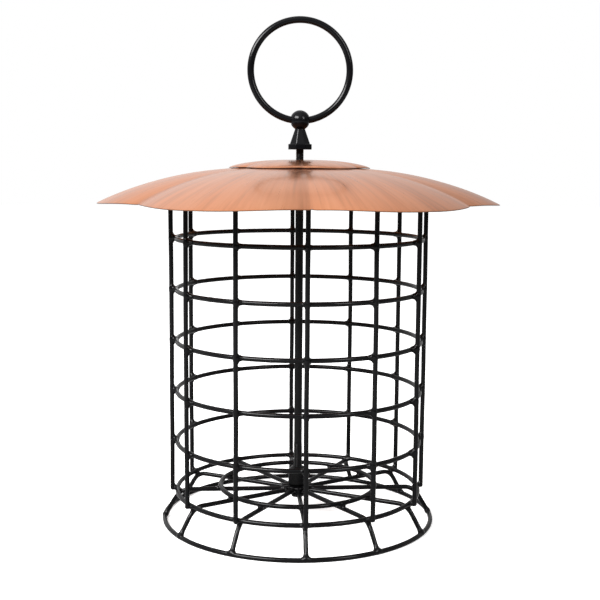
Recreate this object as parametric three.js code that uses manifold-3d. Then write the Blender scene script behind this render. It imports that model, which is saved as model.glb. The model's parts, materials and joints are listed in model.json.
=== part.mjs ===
// Wire-cage bird feeder with a two-tier scalloped roof, millimetres, +Z up.
// The origin is on the rod's axis, at the level that the base hoop stands on.
import * as THREE from 'three';
import { mergeVertices } from 'three/addons/utils/BufferGeometryUtils.js';
import Module from 'manifold-3d';

const wasm = await Module();
wasm.setup();

// ---- driving dimensions ----
const GAP = 0.3;                 // clearance between pieces that touch or are welded
const WIRE = 3;                  // coated wire of the cage
const BAYS = 12;                 // uprights, and floor spokes under them
const CAGE_R = 80;               // centreline of the cage rings
const HOOP_R = 88.6;             // centreline of the base hoop
const FLOOR_RING_R = 51.5;       // centreline of the inner floor ring
const RING_PITCH = 33.35;        // height between cage rings
const UPRIGHT_TOP_Z = 221;       // the roof's creases rest here
const OPEN_RINGS = 6;            // rings below the roof; one more closes the cage under it
const LOWEST_RING_Z = 20.1;      // centreline of the lowest cage ring
const SPOKE_Z = 19;              // centreline of the floor spokes
const RING_STEPS = 36;           // straight stretches round a cage ring
const HOOP_STEPS = 48;           // the same round the base hoop and the hanging ring
const LEG_STEPS = 8;             // stretches along a spoke and its leg
const LEG_BEND_INSET = 1.7;      // how far the bend's corner lies inside the cage rings
const LEG_BEND_IN = 6;           // from that corner inward to where the curve starts
const LEG_BEND_DOWN = 8;         // and down the leg to where it ends

const ROD_D = 5.2;
const ROD_BOTTOM_Z = 13.7;
const ROD_TOP_Z = 251.6;
const ROD_HOLE_R = ROD_D / 2 + GAP;

const SPOKE_START_R = 6.5;       // inner ends of the spokes, clear of the rod
const HUB_PLATE_D = 20;
const HUB_PLATE_T = 1.2;
const WASHER_D = 15;
const WASHER_T = 1;
const NUT_FLATS = 8;             // across flats of the lower nut
const NUT_H = 2.2;
const TOP_NUT_FLATS = 12.2;
const TOP_NUT_H = 12.1;
const TOP_NUT_TAPER_H = 2.5;     // height of its tapered top
const TOP_NUT_TOP_R = 3.7;

const LOBES = 6;
const SHEET_T = 0.8;
const CANOPY = {
  tipR: 130.1,                   // axis to the tip of a lobe
  lobeR: 66.9,                   // radius of the arc that each lobe's edge follows
  edgeZ: 210,                    // height of the lobe tips
  riseZ: 23.2,                   // rise from the tips to the middle
  bulge: 2.69,                   // power of the dome's profile: flat on top, steep at the edge
  creaseDepth: 7.7,              // how far the creases are pressed in at the notches
  creaseFade: 19,                // distance from a crease over which it fades, at the notches
  holeR: 3.2,
  radialSteps: 11,
  aroundSteps: 72,
};
const CAP = {
  tipR: 45.7,
  lobeR: 23.5,
  edgeZ: 232.95,
  riseZ: 3.8,
  bulge: 4.6,
  creaseDepth: 1.1,
  creaseFade: 5,
  holeR: 3.2,
  radialSteps: 5,
  aroundSteps: 60,
};

const FINIAL_SIDES = 8;
const FINIAL_FOOT_Z = 244;
const FINIAL_FOOT_H = 3.5;
const FINIAL_FOOT_R = 8.1;       // to the corners of the octagon
const FINIAL_TAPER_R = 7;        // to the corners where the taper stands on the foot
const FINIAL_NECK_R = 3.2;
const FINIAL_NECK_Z = 257.7;
const BALL_R = 6.4;
const BALL_Z = 262.7;
const BALL_BORE_R = 2.8;
const FINIAL_BORE_TOP_Z = 252.6;

const HANG_R = 31.8;             // centreline of the hanging ring
const HANG_WIRE = 4.4;
const HANG_DROP = 0.3;           // lowest point of its centreline under the ball's centre

// ---- worked-out places ----
const UPRIGHT_R = CAGE_R + WIRE + GAP;
const UPRIGHT_BOTTOM_Z = LOWEST_RING_Z - WIRE / 2 + 0.2;
const FLOOR_RING_Z = SPOKE_Z + WIRE + GAP;
const TOP_RING_Z = UPRIGHT_TOP_Z - WIRE / 2;

// ---- finishes ----
const FINISH = {
  wire: { color: 0x141416, roughness: 0.3, metalness: 0.3 },
  cast: { color: 0x101013, roughness: 0.28, metalness: 0.3 },
  rod: { color: 0x18181a, roughness: 0.4, metalness: 0.5 },
  copper: { color: 0xd9906f, roughness: 0.35, metalness: 0.9 },
};

const feeder = new THREE.Group();

function addPart(name, geometry, finish, place = {}) {
  const mesh = new THREE.Mesh(geometry, new THREE.MeshStandardMaterial(finish));
  mesh.name = name;
  mesh.position.set(0, 0, place.z ?? 0);
  mesh.rotation.z = place.turn ?? 0;
  feeder.add(mesh);
  return mesh;
}

function numbered(name, index) {
  return `${name}_${String(index).padStart(2, '0')}`;
}

// ---- shape helpers ----

// Corners of an eight-sided wire section, `across` from flat to flat, flats level and upright.
function wireSection(across) {
  const cornerR = across / 2 / Math.cos(Math.PI / 8);
  const corners = [];
  for (let i = 0; i < 8; i += 1) {
    const angle = ((i + 0.5) / 8) * 2 * Math.PI;
    corners.push(new THREE.Vector2(cornerR * Math.cos(angle), cornerR * Math.sin(angle)));
  }
  return corners;
}

// A closed profile turned about +Z. The points run anticlockwise, x outward and y up.
function turned(profile, steps) {
  const closed = [...profile, profile[0]];
  return new THREE.LatheGeometry(closed, steps).rotateX(Math.PI / 2);
}

// A level ring of wire, with its centreline at z = 0.
function wireRing(radius, across, steps) {
  const profile = wireSection(across).map((p) => new THREE.Vector2(p.x + radius, p.y));
  return turned(profile, steps);
}

// A flat-sided ring from bore to outside, for plates, washers and nuts.
function collar(boreR, outerR, height, sides) {
  return turned([
    new THREE.Vector2(boreR, 0),
    new THREE.Vector2(outerR, 0),
    new THREE.Vector2(outerR, height),
    new THREE.Vector2(boreR, height),
  ], sides);
}

// ---- cage ----

function buildCageRings() {
  for (let i = 0; i < OPEN_RINGS; i += 1) {
    const z = LOWEST_RING_Z + i * RING_PITCH;
    addPart(`cage_ring_${i + 1}`, wireRing(CAGE_R, WIRE, RING_STEPS), FINISH.wire, { z });
  }
  const topName = `cage_ring_${OPEN_RINGS + 1}`;
  addPart(topName, wireRing(CAGE_R, WIRE, RING_STEPS), FINISH.wire, { z: TOP_RING_Z });
}

function buildUprights() {
  const length = UPRIGHT_TOP_Z - UPRIGHT_BOTTOM_Z;
  for (let i = 0; i < BAYS; i += 1) {
    const upright = new THREE.ExtrudeGeometry(new THREE.Shape(wireSection(WIRE)), {
      depth: length,
      bevelEnabled: false,
    });
    upright.translate(UPRIGHT_R, 0, UPRIGHT_BOTTOM_Z);
    const turn = (i / BAYS) * 2 * Math.PI;
    addPart(numbered('upright', i + 1), upright, FINISH.wire, { turn });
  }
}

// One wire: out from the hub as a spoke, round a shoulder that clears the lowest cage ring,
// and down to the base hoop.
class SpokeLegPath extends THREE.Curve {
  constructor() {
    super();
    const bend = new THREE.Vector3(CAGE_R - LEG_BEND_INSET, 0, SPOKE_Z);
    const hoop = new THREE.Vector3(HOOP_R, 0, WIRE / 2);
    const down = hoop.clone().sub(bend).normalize();
    const bendStart = bend.clone().setX(bend.x - LEG_BEND_IN);
    const bendEnd = bend.clone().addScaledVector(down, LEG_BEND_DOWN);
    const hoopCornerR = WIRE / 2 / Math.cos(Math.PI / 8);
    this.rounding = new THREE.QuadraticBezierCurve3(bendStart, bend, bendEnd);
    this.start = new THREE.Vector3(SPOKE_START_R, 0, SPOKE_Z);
    this.end = hoop.clone().addScaledVector(down, -(hoopCornerR + GAP));
  }

  // The first and last steps are the straight stretches, the rest go round the bend.
  getPoint(t) {
    const place = t * LEG_STEPS;
    if (place <= 1) {
      return this.start.clone().lerp(this.rounding.v0, place);
    }
    if (place >= LEG_STEPS - 1) {
      return this.rounding.v2.clone().lerp(this.end, place - (LEG_STEPS - 1));
    }
    return this.rounding.getPoint((place - 1) / (LEG_STEPS - 2));
  }

  getPointAt(u) {
    return this.getPoint(u);
  }

  getTangentAt(u) {
    return this.getTangent(u);
  }
}

function buildSpokeLegs() {
  const path = new SpokeLegPath();
  for (let i = 0; i < BAYS; i += 1) {
    const wire = new THREE.ExtrudeGeometry(new THREE.Shape(wireSection(WIRE)), {
      extrudePath: path,
      steps: LEG_STEPS,
      bevelEnabled: false,
    });
    const turn = (i / BAYS) * 2 * Math.PI;
    addPart(numbered('spoke_leg', i + 1), wire, FINISH.wire, { turn });
  }
}

function buildHoops() {
  addPart('base_hoop', wireRing(HOOP_R, WIRE, HOOP_STEPS), FINISH.wire, { z: WIRE / 2 });
  addPart('floor_ring', wireRing(FLOOR_RING_R, WIRE, RING_STEPS), FINISH.wire, { z: FLOOR_RING_Z });
}

// ---- hub and rod ----

function buildHub() {
  const plateZ = SPOKE_Z + WIRE / 2 + GAP;
  const topNutZ = plateZ + HUB_PLATE_T + GAP;
  const washerZ = SPOKE_Z - WIRE / 2 - GAP - WASHER_T;
  const nutZ = washerZ - GAP - NUT_H;
  const hexCorner = 1 / Math.cos(Math.PI / 6);
  const nutBoreR = ROD_HOLE_R * hexCorner;

  addPart('hub_plate', collar(ROD_HOLE_R + 0.1, HUB_PLATE_D / 2, HUB_PLATE_T, 36), FINISH.wire, {
    z: plateZ,
  });
  addPart('hub_washer', collar(ROD_HOLE_R + 0.1, WASHER_D / 2, WASHER_T, 30), FINISH.rod, {
    z: washerZ,
  });
  addPart('hub_bottom_nut', collar(nutBoreR, (NUT_FLATS / 2) * hexCorner, NUT_H, 6), FINISH.rod, {
    z: nutZ,
  });

  const topNutR = (TOP_NUT_FLATS / 2) * hexCorner;
  const topNut = turned([
    new THREE.Vector2(nutBoreR, 0),
    new THREE.Vector2(topNutR, 0),
    new THREE.Vector2(topNutR, TOP_NUT_H - TOP_NUT_TAPER_H),
    new THREE.Vector2(TOP_NUT_TOP_R, TOP_NUT_H),
    new THREE.Vector2(nutBoreR, TOP_NUT_H),
  ], 6);
  addPart('hub_top_nut', topNut, FINISH.rod, { z: topNutZ });
}

function buildRod() {
  const length = ROD_TOP_Z - ROD_BOTTOM_Z;
  const rod = new THREE.CylinderGeometry(ROD_D / 2, ROD_D / 2, length, 16);
  rod.rotateX(Math.PI / 2);
  addPart('central_rod', rod, FINISH.rod, { z: ROD_BOTTOM_Z + length / 2 });
}

// ---- roof ----

// Angle from the middle of the nearest lobe; the lobes' middles are at 0, 60, 120... degrees.
function lobeOffset(angle) {
  const lobe = (2 * Math.PI) / LOBES;
  return angle - Math.round(angle / lobe) * lobe;
}

function roofEdgeR(roof, angle) {
  const centreR = roof.tipR - roof.lobeR;
  const offset = lobeOffset(angle);
  const side = centreR * Math.sin(offset);
  return centreR * Math.cos(offset) + Math.sqrt(roof.lobeR ** 2 - side ** 2);
}

// Height of the sheet's upper face: a dome with a crease pressed in from each notch, which
// gets narrower and shallower towards the middle.
function roofZ(roof, radius, angle) {
  const notchR = roofEdgeR(roof, Math.PI / LOBES);
  const fromCrease = notchR * Math.sin(Math.PI / LOBES - Math.abs(lobeOffset(angle)));
  const rounding = roof.creaseFade / 10;
  const distance = Math.hypot(fromCrease, rounding) - rounding;
  const crease = roof.creaseDepth * (radius / notchR) ** 2.6 * Math.exp(-distance / roof.creaseFade);
  return roof.edgeZ + roof.riseZ * (1 - (radius / roof.tipR) ** roof.bulge) - crease;
}

// A flat disc with a rod hole is turned first, then each point is drawn out to the lobed
// outline and lifted onto the dome.
function roofSheet(roof) {
  const profile = [];
  for (let i = 0; i <= roof.radialSteps; i += 1) {
    profile.push(new THREE.Vector2(roof.holeR + i, -SHEET_T));
  }
  for (let i = roof.radialSteps; i >= 0; i -= 1) {
    profile.push(new THREE.Vector2(roof.holeR + i, 0));
  }
  const geometry = turned(profile, roof.aroundSteps);
  const position = geometry.getAttribute('position');
  for (let i = 0; i < position.count; i += 1) {
    const x = position.getX(i);
    const y = position.getY(i);
    const angle = Math.atan2(y, x);
    const share = (Math.hypot(x, y) - roof.holeR) / roof.radialSteps;
    const radius = roof.holeR + share * (roofEdgeR(roof, angle) - roof.holeR);
    const z = roofZ(roof, radius, angle) + position.getZ(i);
    position.setXYZ(i, radius * Math.cos(angle), radius * Math.sin(angle), z);
  }
  geometry.computeVertexNormals();
  return geometry;
}

// ---- finial and hanging ring ----

function toSolid(geometry) {
  geometry.deleteAttribute('normal');
  geometry.deleteAttribute('uv');
  const merged = mergeVertices(geometry, 1e-4);
  return new wasm.Manifold(new wasm.Mesh({
    numProp: 3,
    vertProperties: new Float32Array(merged.getAttribute('position').array),
    triVerts: new Uint32Array(merged.getIndex().array),
  }));
}

function toGeometry(solid) {
  const mesh = solid.getMesh();
  const geometry = new THREE.BufferGeometry();
  geometry.setAttribute('position', new THREE.BufferAttribute(mesh.vertProperties, 3));
  geometry.setIndex(new THREE.BufferAttribute(mesh.triVerts, 1));
  geometry.computeVertexNormals();
  return geometry;
}

// An upright prism or taper from z0 to z1, turned so that a flat faces each axis.
function upright(r0, r1, z0, z1, sides) {
  const geometry = new THREE.CylinderGeometry(r1, r0, z1 - z0, sides);
  geometry.rotateX(Math.PI / 2);
  geometry.rotateZ(Math.PI / sides);
  geometry.translate(0, 0, (z0 + z1) / 2);
  return geometry;
}

function finialNut() {
  const footTopZ = FINIAL_FOOT_Z + FINIAL_FOOT_H;
  const foot = upright(FINIAL_FOOT_R, FINIAL_FOOT_R, FINIAL_FOOT_Z, footTopZ, FINIAL_SIDES);
  const taper = upright(FINIAL_TAPER_R, FINIAL_NECK_R, footTopZ, FINIAL_NECK_Z, FINIAL_SIDES);
  const ball = new THREE.SphereGeometry(BALL_R, 24, 16).rotateX(Math.PI / 2).translate(0, 0, BALL_Z);
  const rodBore = upright(ROD_HOLE_R, ROD_HOLE_R, FINIAL_FOOT_Z - 1, FINIAL_BORE_TOP_Z, 16);
  const crossBore = new THREE.CylinderGeometry(BALL_BORE_R, BALL_BORE_R, 4 * BALL_R, 16);
  crossBore.rotateZ(Math.PI / 2).translate(0, 0, BALL_Z);
  const solid = toSolid(foot)
    .add(toSolid(taper))
    .add(toSolid(ball))
    .subtract(toSolid(rodBore))
    .subtract(toSolid(crossBore));
  return toGeometry(solid);
}

// The ring stands upright in the XZ plane, threaded through the ball.
function hangingRing() {
  const ring = wireRing(HANG_R, HANG_WIRE, HOOP_STEPS);
  ring.rotateX(Math.PI / 2);
  return ring;
}

buildCageRings();
buildUprights();
buildSpokeLegs();
buildHoops();
buildHub();
buildRod();
addPart('roof_canopy', roofSheet(CANOPY), FINISH.copper);
addPart('roof_cap', roofSheet(CAP), FINISH.copper);
addPart('finial_nut', finialNut(), FINISH.cast);
addPart('hanging_ring', hangingRing(), FINISH.cast, { z: BALL_Z - HANG_DROP + HANG_R });

export default feeder;
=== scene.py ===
import json
import math

import bpy
import numpy as np
from mathutils import Matrix, Vector

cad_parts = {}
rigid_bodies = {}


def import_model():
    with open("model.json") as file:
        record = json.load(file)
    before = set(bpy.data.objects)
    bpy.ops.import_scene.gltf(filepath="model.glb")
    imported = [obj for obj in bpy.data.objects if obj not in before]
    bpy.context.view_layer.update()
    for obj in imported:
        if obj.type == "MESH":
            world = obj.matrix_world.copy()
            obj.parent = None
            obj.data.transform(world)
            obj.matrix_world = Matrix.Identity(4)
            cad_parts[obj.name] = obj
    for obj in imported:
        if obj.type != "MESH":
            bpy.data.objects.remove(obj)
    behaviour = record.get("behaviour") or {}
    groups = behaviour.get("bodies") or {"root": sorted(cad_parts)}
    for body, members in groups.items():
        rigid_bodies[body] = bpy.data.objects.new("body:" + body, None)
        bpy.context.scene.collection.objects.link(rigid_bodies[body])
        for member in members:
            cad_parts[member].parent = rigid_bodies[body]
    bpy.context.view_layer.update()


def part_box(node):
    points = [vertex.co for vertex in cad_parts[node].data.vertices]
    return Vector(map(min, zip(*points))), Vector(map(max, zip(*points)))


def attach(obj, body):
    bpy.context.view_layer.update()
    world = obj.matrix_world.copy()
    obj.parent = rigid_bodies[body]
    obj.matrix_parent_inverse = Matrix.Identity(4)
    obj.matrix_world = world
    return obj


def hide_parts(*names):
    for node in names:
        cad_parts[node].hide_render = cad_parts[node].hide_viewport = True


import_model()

# Looks of the wire-cage bird feeder with a copper roof. Shapes are worked out in millimetres, and MM
# turns them into metres when a mesh is made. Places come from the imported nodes' boxes.

MM = 0.001

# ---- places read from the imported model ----


def node_box(name):
    low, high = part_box(name)
    return np.array(low) / MM, np.array(high) / MM


def middle(name):
    low, high = node_box(name)
    return (low + high) / 2


BAYS = 12                 # uprights, and spokes, round the cage
BAY_ANGLE = 2 * np.pi / BAYS
CAGE_RINGS = 7
HOOP_LOW, HOOP_HIGH = node_box("base_hoop")
WIRE_R = (HOOP_HIGH[2] - HOOP_LOW[2]) / 2
HOOP_R = HOOP_HIGH[0] - WIRE_R
HOOP_Z = middle("base_hoop")[2]
CAGE_R = node_box("cage_ring_1")[1][0] - WIRE_R
RING_Z = [middle(f"cage_ring_{i + 1}")[2] for i in range(CAGE_RINGS)]
FLOOR_RING_R = node_box("floor_ring")[1][0] - WIRE_R
FLOOR_RING_Z = middle("floor_ring")[2]
UPRIGHT_LOW, UPRIGHT_HIGH = node_box("upright_01")
UPRIGHT_R = middle("upright_01")[0]
SPOKE_LOW, SPOKE_HIGH = node_box("spoke_leg_01")
SPOKE_Z = SPOKE_HIGH[2] - WIRE_R
SPOKE_START_R = SPOKE_LOW[0]
BEND_INSET = 1.7          # the shoulder's corner, inside the cage rings
BEND_IN = 6.0             # the bend begins this far inside the corner
BEND_DOWN = 8.0           # and ends this far below it

WIRE_SIDES = 16           # faces round a wire
INSET = 0.02              # how far a piece stays inside its node's box, at its widest

# ---- mesh helpers ----


def add_piece(name, points, faces, material, body, slot, nodes=()):
    """A piece of the feeder from points in millimetres, riding on a body and standing for nodes."""
    if isinstance(faces, np.ndarray):
        faces = faces.tolist()
    mesh = bpy.data.meshes.new(name)
    mesh.from_pydata((np.asarray(points) * MM).tolist(), [], faces)
    mesh.update()
    mesh.shade_smooth()
    mesh.materials.append(material)
    obj = bpy.data.objects.new(name, mesh)
    bpy.context.scene.collection.objects.link(obj)
    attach(obj, body)
    if nodes:
        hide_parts(*nodes)
    return obj


def turned_about_z(points, angle):
    c, s = math.cos(angle), math.sin(angle)
    return points @ np.array([[c, s, 0], [-s, c, 0], [0, 0, 1]])


def from_axis(points):
    """Each point's distance from the feeder's axis."""
    return np.hypot(points[:, 0], points[:, 1])


def sweep(path, radii, across, sides=WIRE_SIDES, closed=False):
    """A round wire along path. across is the direction square to the plane it bends in."""
    path = np.asarray(path, float)
    if closed:
        tangent = np.roll(path, -1, 0) - np.roll(path, 1, 0)
    else:
        tangent = np.gradient(path, axis=0)
    tangent /= np.linalg.norm(tangent, axis=1)[:, None]
    across = np.broadcast_to(np.asarray(across, float), path.shape)
    side = np.cross(tangent, across)
    side /= np.linalg.norm(side, axis=1)[:, None]
    angle = np.arange(sides) / sides * 2 * np.pi
    radii = np.broadcast_to(radii, (len(path),))
    spread = side[:, None] * np.cos(angle)[None, :, None] + across[:, None] * np.sin(angle)[None, :, None]
    points = (path[:, None] + spread * radii[:, None, None]).reshape(-1, 3)
    faces = []
    count = len(path)
    for i in range(count if closed else count - 1):
        j = (i + 1) % count
        for k in range(sides):
            n = (k + 1) % sides
            faces.append((i * sides + k, j * sides + k, j * sides + n, i * sides + n))
    if not closed:
        faces.append(tuple(range(sides)))
        faces.append(tuple(range(count * sides - 1, (count - 1) * sides - 1, -1)))
    return points, faces


def round_ended(path, radius, step):
    """Stations along an open path, close together at both ends, with the radii of rounded ends."""
    path = np.asarray(path, float)
    run = np.concatenate([[0], np.cumsum(np.linalg.norm(np.diff(path, axis=0), axis=1))])
    length = run[-1]
    turn = np.radians([12, 30, 50, 70])
    tip = radius * (1 - np.cos(turn))
    inner = np.linspace(radius, length - radius, max(2, int(length / step)))
    stations = np.concatenate([tip, inner, length - tip[::-1]])
    radii = np.concatenate([radius * np.sin(turn), np.full(len(inner), radius), radius * np.sin(turn[::-1])])
    return np.stack([np.interp(stations, run, path[:, i]) for i in range(3)], 1), radii


def waves(x, seed, count, lowest):
    """A smooth wavering line of about unit height, the same on each run: the sum of count sines, of
    lowest times x and of the whole multiples after it."""
    rng = np.random.default_rng(seed)
    total = np.zeros_like(x)
    for i in range(count):
        total += np.sin((lowest + i) * x + rng.uniform(0, 2 * np.pi)) * rng.uniform(0.4, 1) / (i + 1)
    return total


def smooth_min(a, b, k):
    """The lower of a and b, rounded off where they are within k of each other."""
    h = np.clip(0.5 + 0.5 * (b - a) / k, 0, 1)
    return b + (a - b) * h - k * h * (1 - h)


def smooth_max(a, b, k):
    return -smooth_min(-a, -b, k)


def smooth_step(low, high, x):
    t = np.clip((x - low) / (high - low), 0, 1)
    return t * t * (3 - 2 * t)


def surface_of(field, low, high, step):
    """Points and quads of the closed surface where field(points) is 0; it is negative inside. Each grid
    cell that the surface crosses gets one point, which is then moved onto the surface."""
    low, high = np.asarray(low, float), np.asarray(high, float)
    cells = np.ceil((high - low) / step).astype(int)
    axes = [low[i] + step * np.arange(cells[i] + 1) for i in range(3)]
    grid = np.stack(np.meshgrid(*axes, indexing="ij"), -1)
    value = field(grid.reshape(-1, 3)).reshape(grid.shape[:3])
    total = np.zeros((*cells, 3))
    hits = np.zeros(cells)
    quads = []
    for axis in range(3):
        a, b = (axis + 1) % 3, (axis + 2) % 3
        near = np.take(value, np.arange(cells[axis]), axis)
        far = np.take(value, np.arange(1, cells[axis] + 1), axis)
        at = np.argwhere((near < 0) != (far < 0))
        at = at[(at[:, a] > 0) & (at[:, a] < cells[a]) & (at[:, b] > 0) & (at[:, b] < cells[b])]
        v0, v1 = near[tuple(at.T)], far[tuple(at.T)]
        crossing = at.astype(float)
        crossing[:, axis] += v0 / (v0 - v1)
        crossing = low + step * crossing
        ring = []
        for da, db in ((1, 1), (0, 1), (0, 0), (1, 0)):
            cell = at.copy()
            cell[:, a] -= da
            cell[:, b] -= db
            np.add.at(total, tuple(cell.T), crossing)
            np.add.at(hits, tuple(cell.T), 1)
            ring.append(np.ravel_multi_index(cell.T, cells))
        ring = np.stack(ring, 1)
        flip = v0 > 0
        ring[flip] = ring[flip][:, ::-1]
        quads.append(ring)
    quads = np.concatenate(quads)
    used, index = np.unique(quads, return_inverse=True)
    points = total.reshape(-1, 3)[used] / hits.reshape(-1)[used][:, None]
    small = step * 0.05
    for _ in range(3):
        here = field(points)
        slope = np.stack([field(points + small * e) - field(points - small * e) for e in np.eye(3)], 1)
        slope /= 2 * small
        steep = np.maximum((slope**2).sum(1), 0.05)
        move = -(here / steep)[:, None] * slope
        longest = np.linalg.norm(move, axis=1)[:, None]
        points = points + move * np.minimum(1, step / np.maximum(longest, 1e-9))
    return points, index.reshape(quads.shape)


def merged(parts):
    """Several (points, faces) as one."""
    points, faces, base = [], [], 0
    for p, f in parts:
        points.append(p)
        if isinstance(f, np.ndarray):
            f = f.tolist()
        faces.extend([tuple(i + base for i in face) for face in f])
        base += len(p)
    return np.concatenate(points), faces


# ---- materials ----


def new_material(name):
    material = bpy.data.materials.new(name)
    material.use_nodes = True
    tree = material.node_tree
    shader = tree.nodes["Principled BSDF"]
    return material, tree, shader


def add_node(tree, kind, inputs=None, **settings):
    node = tree.nodes.new(kind)
    for key, value in settings.items():
        setattr(node, key, value)
    for key, value in (inputs or {}).items():
        if isinstance(value, bpy.types.NodeSocket):
            tree.links.new(value, node.inputs[key])
        else:
            node.inputs[key].default_value = value
    return node


def object_coordinates(tree):
    return add_node(tree, "ShaderNodeTexCoord").outputs["Object"]


def noise(tree, vector, scale, detail=2.0, rough=0.5):
    return add_node(tree, "ShaderNodeTexNoise",
                    {"Vector": vector, "Scale": scale, "Detail": detail, "Roughness": rough}).outputs["Fac"]


def spread(tree, value, low, high, to_low, to_high):
    """value, stretched so that low to high becomes to_low to to_high, and held there outside."""
    return add_node(tree, "ShaderNodeMapRange", {
        "Value": value, "From Min": low, "From Max": high, "To Min": to_low, "To Max": to_high,
    }).outputs["Result"]


def ramp(tree, value, stops):
    node = add_node(tree, "ShaderNodeValToRGB", {"Fac": value})
    band = node.color_ramp
    while len(band.elements) < len(stops):
        band.elements.new(0.5)
    for element, (place, colour) in zip(band.elements, stops):
        element.position = place
        element.color = (*colour, 1)
    return node.outputs["Color"]


COAT_PATCHES = 55          # broad patches of shade in a coating, for each metre
COAT_SPECULAR = 0.14


def coat_material(name, dark, light, gloss, peel_size, peel_depth):
    """Black coating: two shades in broad patches, a varied gloss, and orange peel with sizes in metres."""
    material, tree, shader = new_material(name)
    place = object_coordinates(tree)
    broad = noise(tree, place, COAT_PATCHES, 3)
    fine = noise(tree, place, 1 / peel_size, 2)
    specks = noise(tree, place, 1 / (peel_size * 0.6), 1)
    shade = ramp(tree, broad, [(0.3, dark), (0.75, light)])
    tree.links.new(shade, shader.inputs["Base Color"])
    tree.links.new(spread(tree, broad, 0.3, 0.7, gloss[0], gloss[1]), shader.inputs["Roughness"])
    height = add_node(tree, "ShaderNodeMath", {0: fine, 1: specks}, operation="ADD").outputs[0]
    bump = add_node(tree, "ShaderNodeBump", {"Height": height, "Strength": 0.3, "Distance": peel_depth})
    tree.links.new(bump.outputs["Normal"], shader.inputs["Normal"])
    shader.inputs["Specular IOR Level"].default_value = COAT_SPECULAR
    return material


DARK_RIM = "dark_rim"      # 1 on a sheet's rim and hole edge, which are coloured darker, 0 on its faces
COPPER_DARK = (0.68, 0.250, 0.105)
COPPER_MID = (0.84, 0.325, 0.142)
COPPER_LIGHT = (0.92, 0.385, 0.185)
# The darker brown given to the sheets' rims and hole edges.
COPPER_DARK_RIM = (0.20, 0.085, 0.048, 1)


def copper_material(name):
    """Copper-plated sheet, brushed outward from the middle."""
    material, tree, shader = new_material(name)
    place = object_coordinates(tree)
    split = add_node(tree, "ShaderNodeSeparateXYZ", {"Vector": place})
    flat = add_node(tree, "ShaderNodeCombineXYZ", {
        "X": split.outputs["X"], "Y": split.outputs["Y"]}).outputs[0]
    reach = add_node(tree, "ShaderNodeVectorMath", {0: flat}, operation="LENGTH").outputs["Value"]
    outward = add_node(tree, "ShaderNodeVectorMath", {0: flat}, operation="NORMALIZE").outputs["Vector"]
    parts = add_node(tree, "ShaderNodeSeparateXYZ", {"Vector": outward})

    def streaks(around, along, detail, rough, shift):
        """Noise drawn out along the radius: around sets how narrow the streaks are, along how short."""
        lift = add_node(tree, "ShaderNodeMath", {0: reach, 1: along / around, 2: shift},
                        operation="MULTIPLY_ADD").outputs[0]
        vector = add_node(tree, "ShaderNodeCombineXYZ", {
            "X": parts.outputs["X"], "Y": parts.outputs["Y"], "Z": lift}).outputs[0]
        return noise(tree, vector, around, detail, rough)

    broad = streaks(around=9, along=10, detail=2.0, rough=0.5, shift=0.0)
    middling = streaks(around=34, along=16, detail=3.0, rough=0.6, shift=3.1)
    fine = streaks(around=150, along=34, detail=3.0, rough=0.6, shift=7.3)
    both = add_node(tree, "ShaderNodeMath", {0: broad, 1: middling}, operation="ADD").outputs[0]
    tint = ramp(tree, spread(tree, both, 0.72, 1.28, 0, 1), [
        (0.0, COPPER_DARK), (0.45, COPPER_MID), (1.0, COPPER_LIGHT),
    ])
    # The rims and hole edges get a darker brown in place of the copper tint.
    rim_mask = add_node(tree, "ShaderNodeAttribute", attribute_name=DARK_RIM).outputs["Fac"]
    rim_mask = spread(tree, rim_mask, 0.3, 0.9, 0.0, 1.0)
    tinted = add_node(tree, "ShaderNodeMix", data_type="RGBA")
    tree.links.new(rim_mask, tinted.inputs[0])
    tree.links.new(tint, tinted.inputs[6])
    tinted.inputs[7].default_value = COPPER_DARK_RIM
    tree.links.new(tinted.outputs[2], shader.inputs["Base Color"])
    shader.inputs["Metallic"].default_value = 1.0
    dull = add_node(tree, "ShaderNodeMath", {0: middling, 1: fine}, operation="ADD").outputs[0]
    tree.links.new(spread(tree, dull, 0.7, 1.3, 0.27, 0.42), shader.inputs["Roughness"])
    shader.inputs["Anisotropic"].default_value = 0.45
    shader.inputs["Coat Weight"].default_value = 0.55
    shader.inputs["Coat Roughness"].default_value = 0.16
    shader.inputs["Coat IOR"].default_value = 1.4
    tangent = add_node(tree, "ShaderNodeTangent", direction_type="RADIAL", axis="Z")
    tree.links.new(tangent.outputs[0], shader.inputs["Tangent"])
    height = add_node(tree, "ShaderNodeMath", {0: fine, 1: middling}, operation="ADD").outputs[0]
    bump = add_node(tree, "ShaderNodeBump", {"Height": height, "Strength": 0.25, "Distance": 0.00012})
    tree.links.new(bump.outputs["Normal"], shader.inputs["Normal"])
    return material


WIRE_COAT = coat_material(
    "wire_powder_coat", dark=(0.0022, 0.0022, 0.0025), light=(0.0042, 0.0042, 0.0046),
    gloss=(0.13, 0.21), peel_size=0.0013, peel_depth=0.00003)
CAST_COAT = coat_material(
    "finial_enamel", dark=(0.0022, 0.0022, 0.0026), light=(0.0042, 0.0042, 0.0048),
    gloss=(0.12, 0.19), peel_size=0.0018, peel_depth=0.00002)
ROD_COAT = coat_material(
    "rod_satin_coat", dark=(0.0028, 0.0028, 0.0030), light=(0.0055, 0.0054, 0.0054),
    gloss=(0.22, 0.34), peel_size=0.0008, peel_depth=0.00003)
COPPER = copper_material("brushed_copper")

# ---- cage wires ----

RING_STEPS = 240
RING_WAVER = 0.10          # how far a ring strays from a true circle
WIRE_BOW = 0.12            # how far an upright strays from a straight line
WIRE_SWELL = 0.012         # how much the coated wire's radius varies
BEAD_SWELL = 0.07          # and how much more at the joint in each ring
BEAD_LENGTH = 1.3
BOW_RUN = 30               # an upright's slowest wave passes a radian in this length
SWELL_RUN = 4              # and a coating's in this one
LEG_GAP = 0.35             # between a leg's end and the hoop, inside the weld


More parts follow.
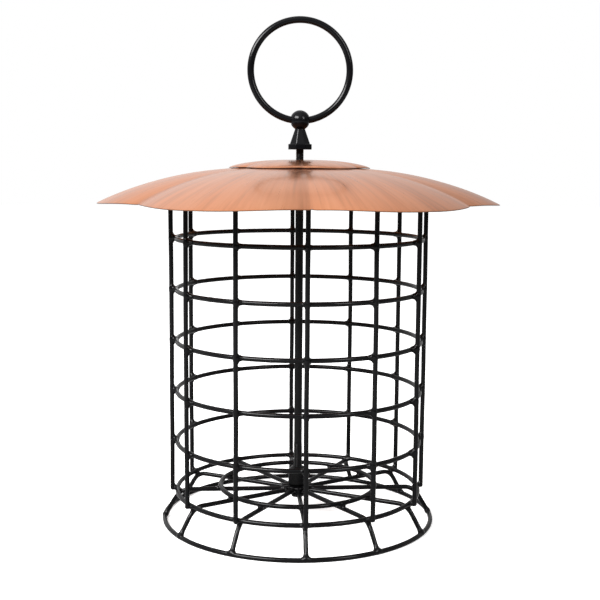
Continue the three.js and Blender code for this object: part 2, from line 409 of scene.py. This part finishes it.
def wire_ring(radius, z, seed):
    """A ring bent from one wire, with the bead where its two ends are joined."""
    angle = np.arange(RING_STEPS) / RING_STEPS * 2 * np.pi
    rng = np.random.default_rng(seed)
    joint = (rng.integers(0, BAYS) + 0.5) / BAYS * 2 * np.pi
    away = np.abs((angle - joint + np.pi) % (2 * np.pi) - np.pi) * radius
    bead = BEAD_SWELL * np.exp(-((away / BEAD_LENGTH) ** 2))
    r = radius + RING_WAVER * waves(angle, seed + 1, 3, 2)
    heights = z + RING_WAVER * 0.6 * waves(angle, seed + 2, 2, 2)
    path = np.stack([r * np.cos(angle), r * np.sin(angle), heights], 1)
    radii = WIRE_R * (1 + WIRE_SWELL * waves(angle, seed + 3, 6, 5) * 0.5 + bead)
    return sweep(path, radii, (0, 0, 1), closed=True)


def leg_path():
    """A spoke's centreline in the XZ plane: out, round the shoulder and down towards the hoop."""
    corner = np.array([CAGE_R - BEND_INSET, 0, SPOKE_Z])
    hoop = np.array([HOOP_R, 0, HOOP_Z])
    down = (hoop - corner) / np.linalg.norm(hoop - corner)
    start = corner - np.array([BEND_IN, 0, 0])
    end = corner + down * BEND_DOWN
    t = np.linspace(0, 1, 15)[:, None]
    curve = (1 - t) ** 2 * start + 2 * t * (1 - t) * corner + t**2 * end
    inner = np.array([[SPOKE_START_R, 0, SPOKE_Z]])
    outer = (hoop - down * (WIRE_R + LEG_GAP))[None]
    return np.concatenate([inner, curve, outer])


LEG_PATH = leg_path()


def add_wire(node, points, faces, turn=0.0):
    add_piece(f"wire_{node}", turned_about_z(points, turn), faces, WIRE_COAT, "cage", "cage_wire", [node])


def build_rings():
    for i in range(CAGE_RINGS):
        add_wire(f"cage_ring_{i + 1}", *wire_ring(CAGE_R, RING_Z[i], 100 + 10 * i))
    add_wire("floor_ring", *wire_ring(FLOOR_RING_R, FLOOR_RING_Z, 200))
    points, faces = wire_ring(HOOP_R, HOOP_Z, 210)
    points[:, 2] = np.maximum(points[:, 2], 0)          # flat where it stands
    add_wire("base_hoop", points, faces)


def upright_wire(i):
    heights = np.linspace(UPRIGHT_LOW[2], UPRIGHT_HIGH[2], 80)
    bow = WIRE_BOW * waves(heights / BOW_RUN, 300 + i, 3, 1)
    sway = WIRE_BOW * waves(heights / BOW_RUN, 330 + i, 3, 1)
    path, radii = round_ended(np.stack([UPRIGHT_R + bow, sway, heights], 1), WIRE_R, 2.5)
    radii = radii * (1 + WIRE_SWELL * 0.5 * waves(path[:, 2] / SWELL_RUN, 360 + i, 5, 1))
    return sweep(path, radii, (0, 1, 0))


def leg_wire(i):
    path, radii = round_ended(LEG_PATH, WIRE_R, 1.2)
    radii = radii * (1 + WIRE_SWELL * 0.5 * waves(path[:, 0] / SWELL_RUN, 400 + i, 5, 1))
    return sweep(path, radii, (0, 1, 0))


def build_uprights_and_legs():
    for i in range(BAYS):
        add_wire(f"upright_{i + 1:02d}", *upright_wire(i), i * BAY_ANGLE)
        add_wire(f"spoke_leg_{i + 1:02d}", *leg_wire(i), i * BAY_ANGLE)


# ---- welds ----


WELD_STEP = 0.38
WELD_SINK = 1.9            # how deep a weld has sunk into the wires at its outer end
CROSSING_REACH = 2.6       # a crossing's weld ends this far outside its core
CROSSING_KINDS = (
    {"blend": 3.2, "core": 2.9, "puddle": 0.12, "shift": (0.1, 0.1)},
    {"blend": 2.8, "core": 2.7, "puddle": 0.10, "shift": (-0.2, 0.0)},
    {"blend": 3.5, "core": 3.0, "puddle": 0.13, "shift": (0.0, -0.2)},
    {"blend": 3.0, "core": 3.1, "puddle": 0.11, "shift": (0.2, 0.15)},
)


def ring_field(p, radius, z):
    return np.hypot(from_axis(p) - radius, p[:, 2] - z) - WIRE_R


def upright_field(p):
    height = np.clip(p[:, 2], UPRIGHT_LOW[2] + WIRE_R, UPRIGHT_HIGH[2] - WIRE_R)
    return np.sqrt((p[:, 0] - UPRIGHT_R) ** 2 + p[:, 1] ** 2 + (p[:, 2] - height) ** 2) - WIRE_R


def leg_field(p):
    nearest = np.full(len(p), 1e9)
    flat = p[:, [0, 2]]
    for a, b in zip(LEG_PATH[:-1, [0, 2]], LEG_PATH[1:, [0, 2]]):
        along = np.clip(((flat - a) @ (b - a)) / ((b - a) @ (b - a)), 0, 1)
        gap = flat - (a + along[:, None] * (b - a))
        nearest = np.minimum(nearest, (gap**2).sum(1))
    return np.sqrt(nearest + p[:, 1] ** 2) - WIRE_R


def weld(fields, centre, blend, core, reach, puddle):
    """The coated weld where wires meet: their smooth union, proud of them by puddle out to core from
    the centre, and sinking back into them from there to reach."""
    centre = np.asarray(centre, float)

    def field(p):
        value = fields[0](p)
        for other in fields[1:]:
            value = smooth_min(value, other(p), blend)
        away = np.linalg.norm(p - centre, axis=1)
        return value - puddle + WELD_SINK * smooth_step(core, reach, away)

    return surface_of(field, centre - reach - WELD_STEP, centre + reach + WELD_STEP, WELD_STEP)


def crossing_welds():
    """A few differing welds of a cage ring and an upright, for the ring at height 0."""
    fields = [lambda p: ring_field(p, CAGE_R, 0),
              lambda p: np.hypot(p[:, 0] - UPRIGHT_R, p[:, 1]) - WIRE_R]
    made = []
    for kind in CROSSING_KINDS:
        centre = ((CAGE_R + UPRIGHT_R) / 2, *kind["shift"])
        reach = kind["core"] + CROSSING_REACH
        made.append(weld(fields, centre, kind["blend"], kind["core"], reach, kind["puddle"]))
    return made


def build_crossing_welds():
    kinds = crossing_welds()
    rng = np.random.default_rng(7)
    for ring in range(1, CAGE_RINGS - 1):
        parts = []
        for bay in range(BAYS):
            points, faces = kinds[rng.integers(len(kinds))]
            if rng.random() < 0.5:
                points, faces = points * [1, 1, -1], faces[:, ::-1]
            points = turned_about_z(points, bay * BAY_ANGLE) + [0, 0, RING_Z[ring]]
            parts.append((points, faces))
        add_piece(f"welds_cage_ring_{ring + 1}", *merged(parts), WIRE_COAT, "cage", "cage_wire")


def add_weld_circle(name, weld_mesh):
    """The same weld in every bay."""
    points, faces = weld_mesh
    parts = [(turned_about_z(points, bay * BAY_ANGLE), faces) for bay in range(BAYS)]
    add_piece(f"welds_{name}", *merged(parts), WIRE_COAT, "cage", "cage_wire")


def build_end_welds():
    """The welds at the uprights' tops, at the shoulders, at the feet and under the floor ring."""
    crown_z = RING_Z[-1]
    crown = weld([lambda p: ring_field(p, CAGE_R, crown_z), upright_field],
                 ((CAGE_R + UPRIGHT_R) / 2, 0, crown_z - 0.6),
                 blend=2.4, core=2.6, reach=5.0, puddle=0.0)
    shoulder_z = RING_Z[0]
    shoulder = weld([lambda p: ring_field(p, CAGE_R, shoulder_z), upright_field, leg_field],
                    (CAGE_R + 0.8, 0, shoulder_z - 0.6),
                    blend=2.6, core=3.4, reach=6.2, puddle=0.08)
    foot = weld([lambda p: ring_field(p, HOOP_R, HOOP_Z), leg_field],
                (HOOP_R - 0.4, 0, HOOP_Z + 1.6),
                blend=2.6, core=2.8, reach=5.2, puddle=0.06)
    foot[0][:, 2] = np.maximum(foot[0][:, 2], 0)
    tray = weld([lambda p: ring_field(p, FLOOR_RING_R, FLOOR_RING_Z), leg_field],
                (FLOOR_RING_R, 0, (FLOOR_RING_Z + SPOKE_Z) / 2),
                blend=2.4, core=2.6, reach=5.0, puddle=0.06)
    add_weld_circle(f"cage_ring_{CAGE_RINGS}", crown)
    add_weld_circle("shoulder", shoulder)
    add_weld_circle("foot", foot)
    add_weld_circle("floor_ring", tray)


# ---- hub ----


def turned_profile(profile, steps):
    """A closed profile of (radius, z), anticlockwise, turned about Z."""
    profile = np.asarray(profile, float)
    angle = np.arange(steps) / steps * 2 * np.pi
    points = np.stack([
        np.cos(angle)[:, None] * profile[:, 0], np.sin(angle)[:, None] * profile[:, 0],
        np.broadcast_to(profile[:, 1], (steps, len(profile)))], -1).reshape(-1, 3)
    count = len(profile)
    faces = []
    for i in range(steps):
        j = (i + 1) % steps
        for k in range(count):
            n = (k + 1) % count
            faces.append((i * count + k, j * count + k, j * count + n, i * count + n))
    return points, faces


def rounded_ring_profile(inner, outer, low, high, fillet, steps=4):
    """A rectangle with rounded corners, anticlockwise with radius to the right and height up."""
    corners = [((outer, low), (-1, 1), -90), ((outer, high), (-1, -1), 0),
               ((inner, high), (1, -1), 90), ((inner, low), (1, 1), 180)]
    out = []
    for (x, y), (sx, sy), begin in corners:
        for i in range(steps + 1):
            a = math.radians(begin + 90 * i / steps)
            out.append((x + sx * fillet + fillet * math.cos(a), y + sy * fillet + fillet * math.sin(a)))
    return out


HUB_RIDGE = 0.7            # how far the hub plate's coating sinks between the spokes
HUB_WEB_R = 10.5           # the coating has filled the gaps between the spokes inside this radius
HUB_WEB_FADE = 5           # and has sunk into the spokes this far outside it
HUB_HOLE_R = 3.0           # the rod's hole in the plate, washer and nuts
LOWER_NUT_CORNER = 1.1     # the lower nut's corners end this many half flats from the axis
LOWER_NUT_CHAMFER = 0.6    # and are cut back by this much for each millimetre of height
TALL_NUT_NECK_R = 3.7      # the tall nut's radius at its top
TALL_NUT_TAPER = 1.12      # and how much it widens for each millimetre down from there
TALL_NUT_CORNER = 1.02     # its foot's radius, in half flats
TALL_NUT_CHAMFER = 1.4     # and how much it widens for each millimetre up from there


def hexagon(p, flats, k):
    """Distance from the sides of an upright hexagon with corners on the Y axis."""
    value = None
    for i in range(3):
        a = i * math.pi / 3
        side = np.abs(p[:, 0] * math.cos(a) + p[:, 1] * math.sin(a)) - flats / 2
        value = side if value is None else smooth_max(value, side, k)
    return value


def off_spoke(p):
    """The angle from each point to the nearest spoke."""
    angle = np.arctan2(p[:, 1], p[:, 0])
    return np.abs(angle - np.round(angle / BAY_ANGLE) * BAY_ANGLE)


def spoke_field(p, turn):
    return np.hypot(from_axis(p) * np.sin(off_spoke(p) - turn), p[:, 2] - SPOKE_Z) - WIRE_R


def plate_field(p):
    """The hub plate, ridged over the spokes and sunk between them."""
    low, high = node_box("hub_plate")
    r = from_axis(p)
    valley = HUB_RIDGE * smooth_step(0.1, 1, off_spoke(p) / (BAY_ANGLE / 2)) * smooth_step(3, 6, r)
    flat = np.maximum(p[:, 2] - high[2] + valley, low[2] - p[:, 2])
    return smooth_max(smooth_max(r - high[0], flat, 0.5), HUB_HOLE_R - r, 0.2)


def hub_web_field(p):
    """The coating that has run together between the spokes, up to the plate."""
    r = from_axis(p)
    value = smooth_min(spoke_field(p, 0), spoke_field(p, BAY_ANGLE), 3.5)
    value = smooth_min(value, plate_field(p), 0.9) - 0.05
    value = value + WELD_SINK * smooth_step(HUB_WEB_R, HUB_WEB_R + HUB_WEB_FADE, r)
    return smooth_max(value, HUB_HOLE_R - r, 0.3)


def build_hub_plate():
    low, high = node_box("hub_plate")
    plate = surface_of(plate_field, low - 0.8, high + 0.8, 0.4)
    add_piece("hub_disc", *plate, WIRE_COAT, "cage", "cage_wire", ["hub_plate"])


def build_washer():
    low, high = node_box("hub_washer")
    profile = rounded_ring_profile(HUB_HOLE_R, high[0], low[2], high[2], 0.3)
    washer = turned_profile(profile, 72)
    add_piece("hub_lower_washer", *washer, ROD_COAT, "cage", "rod_steel", ["hub_washer"])


def build_lower_nut():
    """A thin nut with its corners chamfered at both ends."""
    low, high = node_box("hub_bottom_nut")
    flats = high[0] - low[0]

    def field(p):
        r, z = from_axis(p), p[:, 2]
        value = smooth_max(hexagon(p, flats, 0.2), np.maximum(low[2] - z, z - high[2]), 0.2)
        from_middle = np.abs(z - (low[2] + high[2]) / 2)
        chamfer = r - flats / 2 * LOWER_NUT_CORNER + np.maximum(0, from_middle - 0.5) * LOWER_NUT_CHAMFER
        return smooth_max(smooth_max(value, chamfer, 0.2), HUB_HOLE_R - r, 0.2)

    nut = surface_of(field, low - 0.6, high + 0.6, 0.3)
    add_piece("hub_lower_nut", *nut, ROD_COAT, "cage", "rod_steel", ["hub_bottom_nut"])


def build_tall_nut():
    """A long nut whose upper part tapers to the rod and whose foot is chamfered."""
    low, high = node_box("hub_top_nut")
    flats = high[0] - low[0]

    def field(p):
        r, z = from_axis(p), p[:, 2]
        value = smooth_max(hexagon(p, flats, 0.6), np.maximum(low[2] - z, z - high[2]), 0.5)
        taper = (r - TALL_NUT_NECK_R - (high[2] - z) * TALL_NUT_TAPER) * 0.66
        foot = (r - flats / 2 * TALL_NUT_CORNER - (z - low[2]) * TALL_NUT_CHAMFER) * 0.6
        value = smooth_max(smooth_max(value, taper, 0.7), foot, 0.4)
        return smooth_max(value, HUB_HOLE_R - r, 0.3)

    nut = surface_of(field, low - 0.6, high + 0.6, 0.35)
    add_piece("hub_tall_nut", *nut, ROD_COAT, "cage", "rod_steel", ["hub_top_nut"])


def build_hub_web():
    reach = HUB_WEB_R + HUB_WEB_FADE + 0.5
    top = node_box("hub_plate")[1][2] + 1.2
    web = surface_of(hub_web_field, (-reach, -reach, SPOKE_Z - 3), (reach, reach, top), 0.4)
    add_piece("welds_hub_disc", *web, WIRE_COAT, "cage", "cage_wire")


# ---- rod ----

ROD_PITCH = 0.8
THREAD_DEPTH = 0.42
THREAD_PROUD = 0.22        # the lower thread's crests stand proud of the plain rod, being rolled
LOWER_THREAD = 15          # how far the lower thread reaches above the tall nut
UPPER_THREAD = 8           # and the upper one below the cap's top
ROD_END = 0.7              # chamfer at each end
ROD_WAVER = 0.02           # unevenness of its plain length
ROD_SIDES = 40


def build_rod():
    """One thread form round the rod, present near both ends and faded out between them."""
    low, high = node_box("central_rod")
    plain_r = (high[0] - low[0]) / 2
    nut_high = node_box("hub_top_nut")[1][2]
    cap_high = node_box("roof_cap")[1][2]
    lower_thread = (low[2], nut_high + LOWER_THREAD)
    upper_thread = (cap_high - UPPER_THREAD, high[2])
    sides = ROD_SIDES
    fine = [np.arange(a, b, ROD_PITCH / 7) for a, b in (lower_thread, upper_thread)]
    plain = np.linspace(lower_thread[1], upper_thread[0], 120)
    heights = np.unique(np.concatenate([fine[0], plain, fine[1], [high[2]]]))
    angle = np.arange(sides) / sides * 2 * np.pi
    z, a = np.meshgrid(heights, angle, indexing="ij")
    turn = (z / ROD_PITCH - a / (2 * np.pi)) % 1
    ridge = np.clip(1.25 * (1 - np.abs(2 * turn - 1)), 0.1, 1)
    lower = 1 - smooth_step(lower_thread[1] - 0.8, lower_thread[1] + 0.4, z)
    upper = smooth_step(upper_thread[0] - 0.4, upper_thread[0] + 0.8, z)
    r = plain_r + THREAD_PROUD * lower - THREAD_DEPTH * (1 - ridge) * np.maximum(lower, upper)
    r = r - ROD_END * (1 - smooth_step(low[2] - 0.2, low[2] + 0.9, z))
    r = r - ROD_END * smooth_step(high[2] - 0.9, high[2] + 0.2, z)
    r = r + ROD_WAVER * waves(z / 6, 50, 4, 1) * (1 - np.maximum(lower, upper))
    points = np.stack([r * np.cos(a), r * np.sin(a), z], -1).reshape(-1, 3)
    count = len(heights)
    faces = []
    for i in range(count - 1):
        for k in range(sides):
            n = (k + 1) % sides
            faces.append((i * sides + k, i * sides + n, (i + 1) * sides + n, (i + 1) * sides + k))
    faces.append(tuple(range(sides - 1, -1, -1)))
    faces.append(tuple(range((count - 1) * sides, count * sides)))
    add_piece("threaded_rod", points, faces, ROD_COAT, "cage", "rod_steel", ["central_rod"])


# ---- roof ----

SHEET_T = 0.8
EDGE_T = 0.45              # the shears thin the sheet at its edge
EDGE_TAPER = 2.5           # over this width
ROOF_HOLE_R = 3.2
LIP_WIDTH = 1.6            # how wide the turned-down lip at the edge is
CREASE_GROWTH = 2.6        # power of the creases' depth, from the middle out
SHEET_WAVE = 0.09          # the sheet's unevenness, as slow waves round it
SHEET_RIPPLE = 0.05        # and as ripples from the middle out
ROW_CROWDING = 0.85        # under 1, the rows of points lie closer together towards the edge
LOBES = 6
EDGE_TURNS = np.radians([30, 60, 90, 120, 150])


def roof_shape(node, lobe_r, rise, bulge, depth, fade, lip, crown):
    """A sheet's form: rise and bulge set the dome, crown lifts its middle, depth and fade are of the
    creases, and lip is how far the edge is turned down."""
    low, high = node_box(node)
    tip = (high[0] - low[0]) / 2 - INSET
    return {
        "tip": tip, "lobe_r": lobe_r, "edge_z": high[2] - rise, "rise": rise + crown, "bulge": bulge,
        "depth": depth, "fade": fade, "lip": lip,
    }


def lobe_offset(angle):
    """The angle from the middle of the nearest lobe."""
    lobe = 2 * np.pi / LOBES
    return angle - np.round(angle / lobe) * lobe


def edge_radius(shape, angle):
    centre = shape["tip"] - shape["lobe_r"]
    offset = lobe_offset(angle)
    return centre * np.cos(offset) + np.sqrt(shape["lobe_r"] ** 2 - (centre * np.sin(offset)) ** 2)


def roof_height(shape, radius, angle):
    notch = edge_radius(shape, np.pi / LOBES)
    from_crease = notch * np.sin(np.pi / LOBES - np.abs(lobe_offset(angle)))
    rounding = shape["fade"] / 10
    distance = np.hypot(from_crease, rounding) - rounding
    crease = shape["depth"] * (radius / notch) ** CREASE_GROWTH * np.exp(-distance / shape["fade"])
    dome = shape["edge_z"] + shape["rise"] * (1 - (radius / shape["tip"]) ** shape["bulge"])
    return dome - crease


def sheet_piece(name, shape, node, around, steps, seed):
    """The pressed sheet: upper face, half-round rim, lower face and half-round hole edge."""
    half = SHEET_T / 2
    angle = np.arange(around) / around * 2 * np.pi
    rim = edge_radius(shape, angle)
    share = np.linspace(0, 1, steps) ** ROW_CROWDING
    rows = []

    def row(radius, drop):
        wave = SHEET_WAVE * waves(angle * 2, seed, 4, 1) * smooth_step(20, 110, radius)
        wave = wave + SHEET_RIPPLE * np.sin(radius / 9 + 2 * np.sin(angle * 3 + seed))
        lip = shape["lip"] * np.exp(-np.maximum(rim - radius, 0) / LIP_WIDTH)
        z = roof_height(shape, radius, angle) + wave - lip - drop
        rows.append(np.stack([radius * np.cos(angle), radius * np.sin(angle), z], 1))

    inner, outer = ROOF_HOLE_R + half, rim - half / 2
    for s in share:
        row(inner + s * (outer - inner), 0)
    for turn in EDGE_TURNS:
        row(outer + half * math.sin(turn) / 2, EDGE_T / 2 * (1 - math.cos(turn)))
    for s in share[::-1]:
        radius = inner + s * (outer - inner)
        row(radius, EDGE_T + (SHEET_T - EDGE_T) * smooth_step(0, EDGE_TAPER, outer - radius))
    for turn in EDGE_TURNS:
        row(inner - half * math.sin(turn) + 0 * rim, half * (1 + math.cos(turn)))
    count = len(rows)
    points = np.concatenate(rows)
    i, k = np.meshgrid(np.arange(count), np.arange(around), indexing="ij")
    j, n = (i + 1) % count, (k + 1) % around
    faces = np.stack([i * around + k, j * around + k, j * around + n, i * around + n], -1).reshape(-1, 4)
    piece = add_piece(name, points, faces, COPPER, "roof", "copper_roof", [node])
    # Rows of the rim and the hole edge, which the material colours darker brown.
    rim_mask = np.zeros(count)
    rim_mask[steps:steps + len(EDGE_TURNS)] = 1
    rim_mask[2 * steps + len(EDGE_TURNS):] = 1
    mark = piece.data.attributes.new(DARK_RIM, "FLOAT", "POINT")
    mark.data.foreach_set("value", np.repeat(rim_mask, around).astype(np.float32))


def build_roof():
    canopy = roof_shape(
        "roof_canopy", lobe_r=66.9, rise=23.2, bulge=2.69, depth=6.3, fade=18, lip=0.1, crown=0)
    cap = roof_shape(
        "roof_cap", lobe_r=23.5, rise=3.8, bulge=2.9, depth=1.1, fade=5, lip=0.6, crown=0.7)
    sheet_piece("canopy_sheet", canopy, "roof_canopy", around=480, steps=100, seed=3)
    sheet_piece("cap_sheet", cap, "roof_cap", around=300, steps=40, seed=11)


# ---- finial and hanging ring ----


BALL_R = 6.4
FOOT_HEIGHT = 3.5
TAPER_CORNER_R = 7         # from the axis to the taper's corners at its foot
NECK_CORNER_R = 3.2        # and at its neck
TAPER_IN_BALL = 5          # the taper ends this far under the ball's middle
ROD_BORE_R = 2.9
ROD_BORE_SPARE = 1.0       # the bore ends this far above the rod
CROSS_BORE_R = 2.8
LOOP_STEPS = 200
LOOP_SIDES = 24
LOOP_SWELL = 0.004         # how much the hanging ring's casting varies


def octagon(p, apothem, k):
    """Distance from the sides of an upright octagon with flats on the axes."""
    value = None
    for i in range(4):
        a = i * math.pi / 4
        side = np.abs(p[:, 0] * math.cos(a) + p[:, 1] * math.sin(a)) - apothem
        value = side if value is None else smooth_max(value, side, k)
    return value


def build_finial():
    """Foot, taper and ball as one cast surface, bored for the rod from below and for the ring across."""
    low, high = node_box("finial_nut")
    ball_z = high[2] - BALL_R
    foot_apothem = high[0]
    neck_apothem = NECK_CORNER_R * math.cos(math.pi / 8)
    foot_top = low[2] + FOOT_HEIGHT
    taper_apothem = TAPER_CORNER_R * math.cos(math.pi / 8)
    taper_top = ball_z - TAPER_IN_BALL
    rod_bore_top = node_box("central_rod")[1][2] + ROD_BORE_SPARE

    def field(p):
        z = p[:, 2]
        foot = smooth_max(octagon(p, foot_apothem, 0.35), np.maximum(low[2] - z, z - foot_top), 0.4)
        share = np.clip((z - foot_top) / (taper_top - foot_top), 0, 1.2)
        width = taper_apothem + (neck_apothem - taper_apothem) * share
        taper = smooth_max(octagon(p, width, 0.35) * 0.96, np.maximum(foot_top - 1 - z, z - taper_top), 0.3)
        ball = np.sqrt(p[:, 0] ** 2 + p[:, 1] ** 2 + (z - ball_z) ** 2) - BALL_R
        value = smooth_min(smooth_min(foot, taper, 0.25), ball, 0.5)
        rod_bore = np.maximum(from_axis(p) - ROD_BORE_R, z - rod_bore_top)
        value = smooth_max(value, -rod_bore, 0.2)
        return smooth_max(value, CROSS_BORE_R - np.hypot(p[:, 1], z - ball_z), 0.35)

    nut = surface_of(field, low - 0.7, high + 0.7, 0.25)
    add_piece("finial_casting", *nut, CAST_COAT, "finial", "black_casting", ["finial_nut"])


def build_hanging_ring():
    """The ring's casting varies a little, always inside its node's box."""
    low, high = node_box("hanging_ring")
    tube = (high[1] - low[1]) / 2 - 0.005
    radius = (high[0] - low[0]) / 2 - tube - INSET
    angle = np.arange(LOOP_STEPS) / LOOP_STEPS * 2 * np.pi
    path = np.stack([radius * np.cos(angle), 0 * angle, radius * np.sin(angle)], 1) + (low + high) / 2
    radii = tube * (1 - LOOP_SWELL * (1 + waves(angle, 70, 5, 3) / 2))
    points, faces = sweep(path, radii, (0, 1, 0), LOOP_SIDES, closed=True)
    add_piece("hanging_loop", points, faces, CAST_COAT, "ring", "black_casting", ["hanging_ring"])


build_rings()
build_uprights_and_legs()
build_crossing_welds()
build_end_welds()
build_hub_plate()
build_washer()
build_lower_nut()
build_tall_nut()
build_hub_web()
build_rod()
build_roof()
build_finial()
build_hanging_ring()

# ---- floor, light and camera ----

FLOOR_HALF = 5.0           # metres, as all below
AIM = Vector((0, 0, 0.12))


def build_stage():
    """A white floor that looks brighter to the camera than it is to the wires above it."""
    material, tree, shader = new_material("studio_floor")
    shader.inputs["Base Color"].default_value = (0.93, 0.93, 0.93, 1)
    shader.inputs["Roughness"].default_value = 0.6
    shader.inputs["Specular IOR Level"].default_value = 0.2
    shader.inputs["Emission Color"].default_value = (1, 1, 1, 1)
    shader.inputs["Emission Strength"].default_value = 0.45
    bounce = add_node(tree, "ShaderNodeBsdfDiffuse", {"Color": (0.35, 0.35, 0.35, 1)})
    path = add_node(tree, "ShaderNodeLightPath")
    mix = add_node(tree, "ShaderNodeMixShader", {
        0: path.outputs["Is Camera Ray"], 1: bounce.outputs[0], 2: shader.outputs[0]})
    tree.links.new(mix.outputs[0], tree.nodes["Material Output"].inputs["Surface"])
    mesh = bpy.data.meshes.new("studio_floor")
    corners = [(x * FLOOR_HALF, y * FLOOR_HALF, 0) for x, y in ((-1, -1), (1, -1), (1, 1), (-1, 1))]
    mesh.from_pydata(corners, [], [(0, 1, 2, 3)])
    mesh.materials.append(material)
    floor = bpy.data.objects.new("studio_floor", mesh)
    bpy.context.scene.collection.objects.link(floor)


FRONT_LIGHT = 0.05         # how bright the surround is in front of the feeder,
BACK_LIGHT = 0.80          # behind it
TOP_LIGHT = 0.98           # and above it
RIGHT_LIGHT = 0.52         # and what share of that is left on the right


def add_softbox(name, place, size, power):
    light = bpy.data.lights.new(name, "AREA")
    light.shape = "RECTANGLE"
    light.size, light.size_y = size
    light.energy = power
    obj = bpy.data.objects.new(name, light)
    obj.location = place
    obj.rotation_mode = "QUATERNION"
    obj.rotation_quaternion = (AIM - Vector(place)).to_track_quat("-Z", "Y")
    bpy.context.scene.collection.objects.link(obj)
    return obj


def keep_off_roof(lights):
    """The lights are flagged off the bright copper, so that they only draw highlights on the black."""
    others = bpy.data.collections.new("lit_by_softboxes")
    for obj in bpy.context.scene.objects:
        if obj.type == "MESH" and COPPER.name not in obj.data.materials:
            others.objects.link(obj)
    for light in lights:
        light.light_linking.receiver_collection = others


def build_light():
    """A white surround for the camera. What the feeder sees instead is dark in front, light behind and
    above, and dimmer to the right."""
    world = bpy.data.worlds.new("studio")
    world.use_nodes = True
    bpy.context.scene.world = world
    tree = world.node_tree
    seen = tree.nodes["Background"]
    seen.inputs["Color"].default_value = (1, 1, 1, 1)
    seen.inputs["Strength"].default_value = 1.0
    direction = add_node(tree, "ShaderNodeTexCoord").outputs["Generated"]
    axes = add_node(tree, "ShaderNodeSeparateXYZ", {"Vector": direction})
    horizon = spread(tree, axes.outputs["Y"], -0.5, 0.7, FRONT_LIGHT, BACK_LIGHT)
    above = spread(tree, axes.outputs["Z"], 0.10, 0.60, 0.0, 1.0)
    missing = add_node(tree, "ShaderNodeMath", {0: TOP_LIGHT, 1: horizon}, operation="SUBTRACT").outputs[0]
    dome = add_node(tree, "ShaderNodeMath", {0: above, 1: missing, 2: horizon},
                    operation="MULTIPLY_ADD").outputs[0]
    sideways = spread(tree, axes.outputs["X"], 0.0, 0.40, 1.0, RIGHT_LIGHT)
    lit = add_node(tree, "ShaderNodeBackground", {"Color": dome, "Strength": sideways})
    path = add_node(tree, "ShaderNodeLightPath")
    mix = add_node(tree, "ShaderNodeMixShader", {
        0: path.outputs["Is Camera Ray"], 1: lit.outputs[0], 2: seen.outputs[0]})
    tree.links.new(mix.outputs[0], tree.nodes["World Output"].inputs["Surface"])
    key = add_softbox("key_softbox", (-1.0, -0.9, 1.1), size=(1.2, 0.6), power=64)
    fill = add_softbox("fill_softbox", (0.9, -1.1, 0.9), size=(0.4, 0.6), power=10)
    keep_off_roof([key, fill])


CAMERA_TARGET = (0.00075, 0.0, 0.1461)
CAMERA_DISTANCE = 0.7232
CAMERA_ELEVATION = 7.2     # degrees
CAMERA_AZIMUTH = -3.52
CAMERA_ROLL = 0.385
CAMERA_LENS = 66.06        # millimetres, as the sensor's width
CAMERA_SENSOR = 36


def build_camera():
    data = bpy.data.cameras.new("camera")
    data.sensor_width = CAMERA_SENSOR
    data.lens = CAMERA_LENS
    camera = bpy.data.objects.new("camera", data)
    bpy.context.scene.collection.objects.link(camera)
    a, e = math.radians(CAMERA_AZIMUTH), math.radians(CAMERA_ELEVATION)
    back = Vector((math.sin(a) * math.cos(e), -math.cos(a) * math.cos(e), math.sin(e)))
    camera.location = Vector(CAMERA_TARGET) + back * CAMERA_DISTANCE
    camera.rotation_mode = "QUATERNION"
    roll = Matrix.Rotation(math.radians(CAMERA_ROLL), 3, "Z").to_quaternion()
    camera.rotation_quaternion = (-back).to_track_quat("-Z", "Y") @ roll
    data.clip_start, data.clip_end = 0.05, 30
    bpy.context.scene.camera = camera


build_stage()
build_light()
build_camera()
bpy.context.scene.view_settings.view_transform = "Standard"
